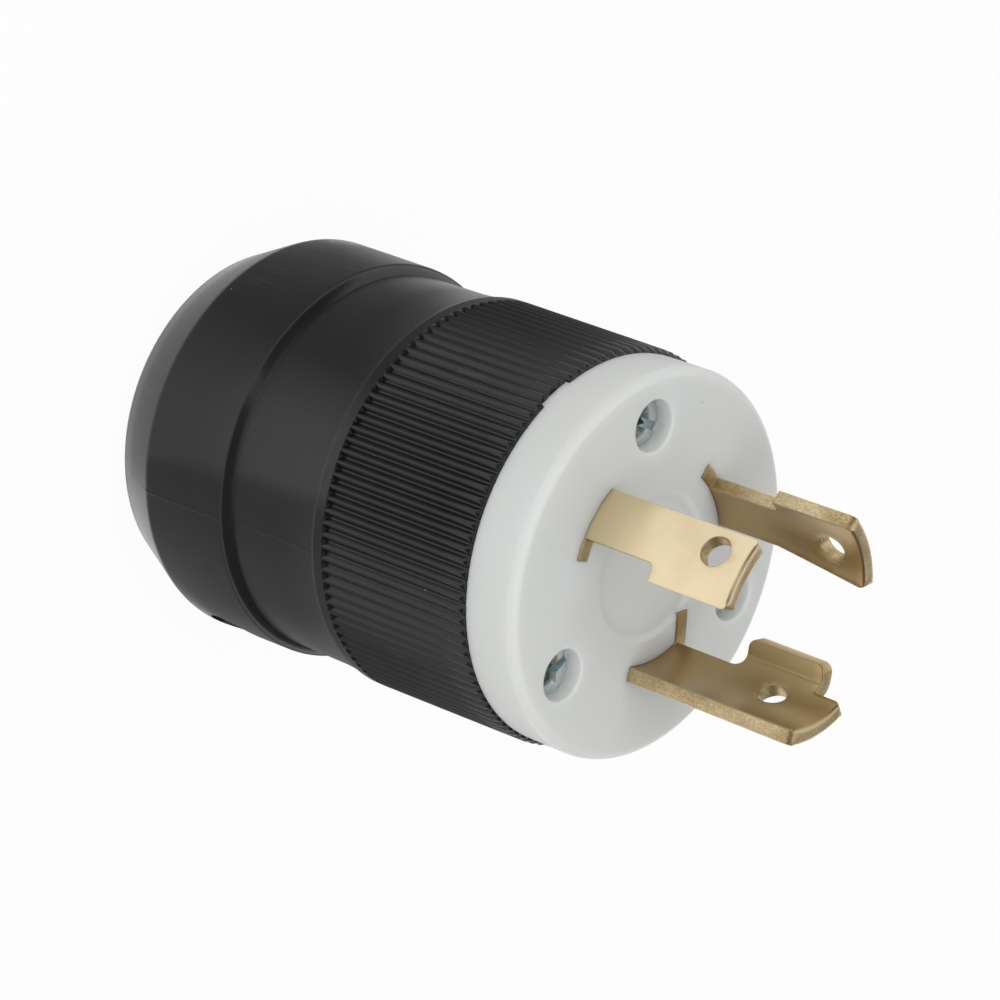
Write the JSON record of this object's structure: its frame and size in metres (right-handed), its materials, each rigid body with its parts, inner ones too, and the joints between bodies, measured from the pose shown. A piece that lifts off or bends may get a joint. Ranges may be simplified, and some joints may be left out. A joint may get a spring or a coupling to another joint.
{
  "type": "locking power plug",
  "caption": "Round locking power plug with a ribbed black grip, a white face, curved hooked brass blades and a screw-driven cord clamp at the rear.",
  "frame": {"origin": "centre of the rear rim that the plug stands on", "axes": "+Z along the plug's axis from the rear end to the blade tips; +Y along the slide of the cord clamp's lower jaw, through one assembly screw"},
  "size_m": [0.0516, 0.0516, 0.0931],
  "materials": {
    "black_nylon": "satin moulded",
    "white_nylon": "satin moulded",
    "brass": "rolled, sheared edges",
    "zinc_steel": "zinc plated",
    "green_steel": "dyed green"
  },
  "bodies": {
    "housing": {"assembly_screw_1": "zinc_steel", "assembly_screw_2": "zinc_steel", "assembly_screw_3": "zinc_steel", "front_body": "white_nylon", "grip_shell": "black_nylon", "ground_blade": "brass", "line_blade_x": "brass", "line_blade_y": "brass", "terminal_clamp_ground": "brass", "terminal_clamp_x": "brass", "terminal_clamp_y": "brass", "terminal_retainer": "white_nylon", "terminal_screw_ground": "green_steel", "terminal_screw_x": "brass", "terminal_screw_y": "brass", "threaded_insert_1": "brass", "threaded_insert_2": "brass", "threaded_insert_3": "brass"},
    "jaw_a": {"clamp_jaw_a": "black_nylon", "clamp_screw_a": "zinc_steel", "clamp_nut_a": "zinc_steel"},
    "jaw_b": {"clamp_jaw_b": "black_nylon", "clamp_screw_b": "zinc_steel", "clamp_nut_b": "zinc_steel"}
  },
  "joints": [
    {"name": "jaw_a_slide", "type": "slide", "parent": "housing", "child": "jaw_a", "axis": [0, 1, 0], "range_m": [0, 0.0045]},
    {"name": "jaw_b_slide", "type": "slide", "parent": "housing", "child": "jaw_b", "axis": [0, -1, 0], "range_m": [0, 0.0045]}
  ],
  "couplings": [
    {"joint": "jaw_b_slide", "follows": "jaw_a_slide", "ratio": 1}
  ]
}
